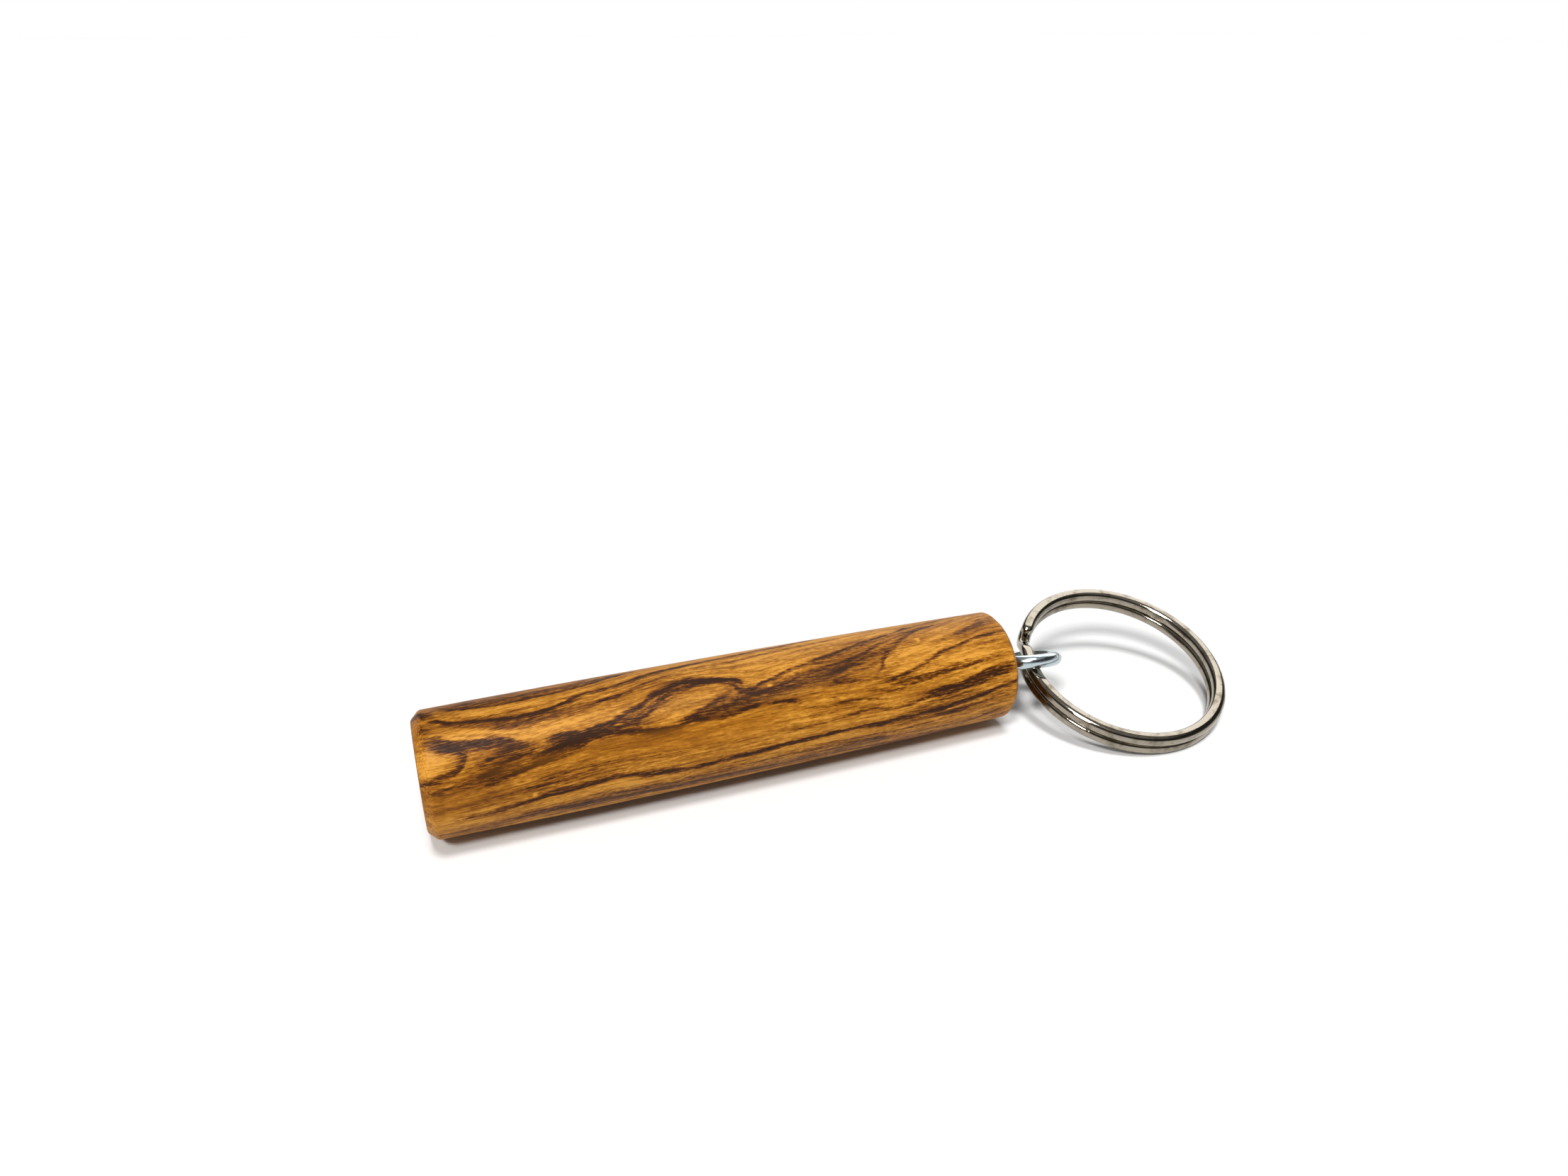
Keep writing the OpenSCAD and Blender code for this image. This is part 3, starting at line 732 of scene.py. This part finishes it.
def olive_wood():
    """Wood whose colour runs from light to dark with the veins, streaks, hairs and pores."""
    n = Nodes("olive_wood")
    vein = n.attribute("vein").outputs["Fac"]
    tone = n.attribute("tone").outputs["Fac"]
    warmth = n.attribute("warmth").outputs["Fac"]
    streaks = n.attribute("streaks").outputs["Fac"]
    fine = n.attribute("fine").outputs["Fac"]
    hairs = n.noise(n.along_grain((0.35, 9, 9)), 1.0, 3.0, 0.6)
    grains = n.noise(n.along_grain((1.2, 5, 5)), 1.0, 4.0, 0.6)
    lines = n.noise(n.along_grain((0.05, 1.5, 1.5)), 1.0, 3.0, 0.6)
    pores = n.voronoi(n.along_grain((0.7, 4.5, 4.5)), 1.0)
    hair = n.math("SUBTRACT", hairs, 0.5)
    grain = n.math("SUBTRACT", grains, 0.5)
    line = n.between(lines, 0.50, 0.66)
    pore = n.between(pores, 0.22, 0.08)
    # where a place lies between the lightest and the darkest wood
    ragged = n.math("ADD", n.math("MULTIPLY", hair, 1.8), n.math("MULTIPLY", grain, 1.4))
    ragged = n.math("MULTIPLY", vein, n.math("ADD", ragged, 1.0))
    depth = n.math("ADD", n.math("MULTIPLY", n.between(ragged, 0.0, 1.0), 0.84), 0.19)
    for value, share in ((tone, -0.32), (streaks, 0.13), (fine, 0.11), (hair, 0.75), (grain, 0.72),
                         (line, 0.14), (pore, 0.16)):
        depth = n.math("ADD", depth, n.math("MULTIPLY", value, share))
    # the end faces show the growth rings cut across, round a middle that lies off the axis
    ends = n.attribute("ends").outputs["Fac"]
    rings = n.rings(n.object_place((1, 1, 1), (0, 0, 0), (0, 7, -11)), 0.22, 9.0)
    across = n.noise(n.object_place((1, 1, 1)), 2.6, 4.0, 0.6)
    end_depth = n.math("ADD", n.math("MULTIPLY", n.math("POWER", rings, 2.0), 0.08), 0.17)
    end_depth = n.math("ADD", end_depth, n.math("MULTIPLY", across, 0.50))
    depth = n.math("ADD", n.math("MULTIPLY", depth, n.math("SUBTRACT", 1.0, ends)),
                   n.math("MULTIPLY", end_depth, ends))
    colour = n.colours(depth, [(0.0, LIGHT_WOOD), (0.25, GOLD_WOOD), (0.50, BROWN_WOOD),
                               (0.74, DARK_WOOD), (1.0, DARKEST_WOOD)])
    warm = n.between(warmth, 0.1, 1.0, 0.0, 0.35)
    colour = n.mix(warm, colour, WARM_WOOD)
    grey = n.between(warmth, -0.15, -0.9, 0.0, 0.42)
    grey_shade = n.mix(n.math("MULTIPLY", depth, 1.0, True), GREY_WOOD, DARK_WOOD)
    colour = n.mix(grey, colour, grey_shade)
    n.join(colour, n.shader.inputs["Base Color"])
    roughness = n.between(n.math("ADD", grain, n.math("MULTIPLY", hair, 0.5)), -0.3, 0.3, 0.42, 0.56)
    n.join(roughness, n.shader.inputs["Roughness"])
    n.shader.inputs["Specular IOR Level"].default_value = 0.12
    normal = n.bump(hairs, 0.30, 0.03)
    normal = n.bump(n.math("SUBTRACT", 1.0, pore), 0.30, 0.03, normal)
    n.join(normal, n.shader.inputs["Normal"])
    return n.material


# ---------------------------------------------------------------- metals
def plated(name, colour, dull, roughness, rough_more, pits):
    """Bright plating with dull patches, fine scratches and small pits."""
    n = Nodes(name)
    patches = n.noise(n.object_place((0.5, 0.5, 0.5)), 1.0, 4.0, 0.6)
    scratch = n.noise(n.object_place((1, 6, 6), (0, 20, 35)), 1.0, 3.0, 0.6)
    pit = n.between(n.voronoi(n.object_place((1, 1, 1)), 2.2), 0.0, 0.28)
    worn = n.between(patches, 0.45, 0.7)
    n.join(n.mix(worn, colour, dull), n.shader.inputs["Base Color"])
    n.shader.inputs["Metallic"].default_value = 1.0
    rough = n.math("ADD", n.math("MULTIPLY", worn, rough_more), roughness)
    rough = n.math("ADD", rough, n.math("MULTIPLY", n.math("SUBTRACT", scratch, 0.5), 0.12), True)
    n.join(rough, n.shader.inputs["Roughness"])
    normal = n.bump(pit, pits, 0.02)
    normal = n.bump(scratch, 0.12, 0.01, normal)
    n.join(normal, n.shader.inputs["Normal"])
    return n.material


# ---------------------------------------------------------------- the screw eye
WIRE_SIDES = 40
LOOP_STEPS = 110      # sections round the loop
ROWS_PER_TURN = 14    # sections in one turn of the thread
loop_r = (EYE_HOLE_D + WIRE_D) / 2
neck_bend_r = NECK_R + WIRE_D / 2
bends_apart = neck_bend_r + loop_r
neck_turn = math.acos(neck_bend_r / bends_apart)
end_apart = neck_bend_r + WIRE_D + EYE_GAP
loop_sweep = 2 * math.pi - math.acos(
    (loop_r**2 + bends_apart**2 - end_apart**2) / (2 * loop_r * bends_apart))


def at_eye(points):
    """Moves points from the screw eye's own frame, with its shank along X, into place."""
    turn = (
        Matrix.Translation((FOB_LEN, 0, 0))
        @ Matrix.Rotation(math.radians(EYE_LEAN), 4, "Y")
        @ Matrix.Rotation(math.radians(-EYE_TURN), 4, "X")
    )
    return [np.array(turn @ Vector(p)) for p in points]


def eye_route():
    """Middle of the wire and its direction, from inside the wood to the loop's cut end."""
    route = [((x, 0.0), 0.0, SHANK_D / 2) for x in np.linspace(-PLAIN_LEN, STANDOFF - 0.4, 6)]
    for t in np.linspace(0, 1, 16):
        turn = neck_turn * t
        place = (STANDOFF + neck_bend_r * math.sin(turn), neck_bend_r * (1 - math.cos(turn)))
        route.append((place, turn, SHANK_D / 2 + (WIRE_D - SHANK_D) / 2 * ramp(3 * t)))
    start = np.array(route[-1][0])
    middle = start + loop_r * np.array([math.sin(neck_turn), -math.cos(neck_turn)])
    for i in range(1, LOOP_STEPS + 1):
        turn = neck_turn - loop_sweep * i / LOOP_STEPS
        place = middle + loop_r * np.array([-math.sin(turn), math.cos(turn)])
        route.append((tuple(place), turn, WIRE_D / 2))
    return route


def make_eye(material):
    """The point and thread, then the wire along its route, then the sheared end."""
    route = eye_route()
    points = []
    upright = np.array([0, 0, 1])

    def add_ring(place, turn, radius, forward=0.0):
        along = np.array([math.cos(turn), math.sin(turn), 0])
        across = np.array([-math.sin(turn), math.cos(turn), 0])
        middle = np.array([place[0], place[1], 0]) + forward * along
        for j in range(WIRE_SIDES):
            angle = 2 * math.pi * j / WIRE_SIDES
            points.append(middle + radius * (math.cos(angle) * across + math.sin(angle) * upright))

    # the thread: its crest winds round a core and fades into the shank and the point
    rows = int(THREAD_LEN / PITCH * ROWS_PER_TURN)
    for i in range(rows, -1, -1):
        x = THREAD_LEN * i / rows
        rise = ramp(x / PITCH / 0.75)
        taper = min(1, 0.12 + (THREAD_LEN - x) / POINT_LEN)
        for j in range(WIRE_SIDES):
            angle = 2 * math.pi * j / WIRE_SIDES
            turns = x / PITCH - angle / (2 * math.pi)
            phase = abs(turns - math.floor(turns) - 0.5) * 2
            radius = taper * (CORE_D + rise * ramp(1.6 * phase - 0.6) * (SHANK_D - CORE_D)) / 2
            if x == 0:
                radius = SHANK_D / 2
            points.append(np.array([-PLAIN_LEN - 0.05 - x,
                                    radius * math.cos(angle), radius * math.sin(angle)]))
    for place, turn, radius in route:
        add_ring(place, turn, radius)
    # the sheared end: a small burr-free chamfer, then the flat cut
    place, turn, radius = route[-1]
    del points[-WIRE_SIDES:]
    add_ring(place, turn, radius, 0.16)
    add_ring(place, turn, radius * 0.93, 0.04)
    add_ring(place, turn, radius * 0.5, 0.0)
    count = len(points) // WIRE_SIDES
    make_object("zinc_screw_eye", at_eye(points), tube_faces(count, WIRE_SIDES),
                "screw_eye", "fob", material)


# ---------------------------------------------------------------- the split ring
RING_SIDES = 36
SQUARENESS = 2.5      # 2 gives an oval wire and more gives a squarer one
STEP_SHIFT = 1        # degrees between a whole turn and the start of the step
END_LENGTH = 4        # degrees over which a cut end is rounded
coil_h = (COIL_T + COIL_GAP) / 2
ring_start, ring_finish = -UPPER_END, -720 + LOWER_END
step_start = -360 - UPPER_END + STEP_LEN + STEP_SHIFT


def ring_angles():
    """Angles of the ring's sections, close together at the cut ends and the step."""
    near_start = [ring_start - t for t in (0, 0.15, 0.4, 0.8, 1.4, 2.2, 3.2, 4.4)]
    near_end = [ring_finish + t for t in (4.4, 3.2, 2.2, 1.4, 0.8, 0.4, 0.15, 0)]
    before = np.arange(ring_start - 6, step_start + 1, -1.5).tolist()
    step = np.arange(step_start, step_start - STEP_LEN, -0.6).tolist()
    after = np.arange(step_start - STEP_LEN, ring_finish + 5.5, -1.5).tolist()
    return near_start + before + step + after + near_end


def make_ring(material):
    """One wire through two turns, from the upper cut end down the step to the lower one."""
    points = []
    angles = ring_angles()
    for angle in angles:
        level = coil_h * (1 - 2 * ramp((step_start - angle) / STEP_LEN))
        from_end = min(ring_start - angle, angle - ring_finish)
        t = min(1, from_end / END_LENGTH)
        size = math.sqrt(max(0.04, 1 - (1 - t) ** 2))
        turn = math.radians(angle)
        out = -math.cos(turn) * RING_OUT + math.sin(turn) * RING_NEAR
        for j in range(RING_SIDES):
            around = 2 * math.pi * (j + 0.5) / RING_SIDES
            c, s = math.cos(around), math.sin(around)
            across = math.copysign(abs(c) ** (2 / SQUARENESS), c) * COIL_W / 2 * size
            up = math.copysign(abs(s) ** (2 / SQUARENESS), s) * COIL_T / 2 * size
            points.append(RING_CENTRE + (COIL_R + across) * out + (level + up) * RING_UP)
    make_object("nickel_split_ring", points, tube_faces(len(angles), RING_SIDES),
                "split_ring", "ring", material)


make_fob(olive_wood())
make_eye(plated("zinc_plating", (190, 203, 208), (160, 174, 180), 0.16, 0.14, 0.5))
make_ring(plated("nickel_plating", (158, 150, 136), (116, 107, 91), 0.07, 0.09, 0.25))


# ---------------------------------------------------------------- floor and light
# Brightness of the room against height: 0 is straight down, 0.5 the horizon, 1 straight up
SKY = [(0.0, 1.0), (0.52, 1.0), (0.59, 0.60), (0.66, 0.06), (0.86, 0.03), (0.92, 0.28), (1.0, 0.30)]


def make_floor():
    size = 3.0
    z = SURFACE_Z * MM
    mesh = bpy.data.meshes.new("floor")
    mesh.from_pydata([(-size, -size, z), (size, -size, z), (size, size, z), (-size, size, z)],
                     [], [(0, 1, 2, 3)])
    n = Nodes("white_paper")
    shade = n.noise(n.object_place((0.01, 0.01, 0.01)), 1.0, 2.0)
    n.join(n.mix(shade, (221, 221, 221), (224, 224, 224)), n.shader.inputs["Base Color"])
    n.shader.inputs["Roughness"].default_value = 0.9
    n.shader.inputs["Specular IOR Level"].default_value = 0.1
    mesh.materials.append(n.material)
    floor = bpy.data.objects.new("floor", mesh)
    bpy.context.scene.collection.objects.link(floor)


def make_world():
    """A room that is white low down, almost black above that, and grey overhead."""
    world = bpy.data.worlds.new("studio")
    bpy.context.scene.world = world
    world.use_nodes = True
    tree = world.node_tree
    background = tree.nodes["Background"]
    coordinates = tree.nodes.new("ShaderNodeTexCoord")
    split = tree.nodes.new("ShaderNodeSeparateXYZ")
    tree.links.new(coordinates.outputs["Generated"], split.inputs["Vector"])
    shade = tree.nodes.new("ShaderNodeValToRGB")
    height = tree.nodes.new("ShaderNodeMapRange")
    height.inputs["From Min"].default_value = -1
    tree.links.new(split.outputs["Z"], height.inputs["Value"])
    tree.links.new(height.outputs["Result"], shade.inputs["Fac"])
    elements = shade.color_ramp.elements
    while len(elements) < len(SKY):
        elements.new(0.5)
    for element, (place, value) in zip(elements, SKY):
        element.position = place
        element.color = (value, value, value, 1)
    tree.links.new(shade.outputs["Color"], background.inputs["Color"])
    background.inputs["Strength"].default_value = 1.0


def direction(azimuth, elevation):
    """The way to an azimuth (0 is +Y, 90 is +X) and an elevation."""
    a, e = math.radians(azimuth), math.radians(elevation)
    return Vector((math.sin(a) * math.cos(e), math.cos(a) * math.cos(e), math.sin(e)))


def make_sun(name, azimuth, elevation, angle, strength):
    """A soft distant light."""
    data = bpy.data.lights.new(name, "SUN")
    data.angle = math.radians(angle)
    data.energy = strength
    light = bpy.data.objects.new(name, data)
    bpy.context.scene.collection.objects.link(light)
    light.rotation_mode = "QUATERNION"
    light.rotation_quaternion = direction(azimuth, elevation).to_track_quat("Z", "Y")


def make_softbox(azimuth, elevation, distance, width, power):
    """A round soft light that faces the object, for the long highlights on the metal."""
    data = bpy.data.lights.new("softbox", "AREA")
    data.shape = "DISK"
    data.size = width
    data.energy = power
    light = bpy.data.objects.new("softbox", data)
    bpy.context.scene.collection.objects.link(light)
    light.visible_camera = False
    light.visible_diffuse = False
    toward = direction(azimuth, elevation)
    light.location = toward * distance
    light.rotation_mode = "QUATERNION"
    light.rotation_quaternion = toward.to_track_quat("Z", "Y")


make_floor()
make_world()
make_softbox(45, 34, 1.5, 1.5, 12.0)
make_sun("left_window", 222, 50, 12, 2.3)
make_sun("ceiling_panel", 188, 75, 14, 2.2)
bpy.context.scene.view_settings.view_transform = "Standard"
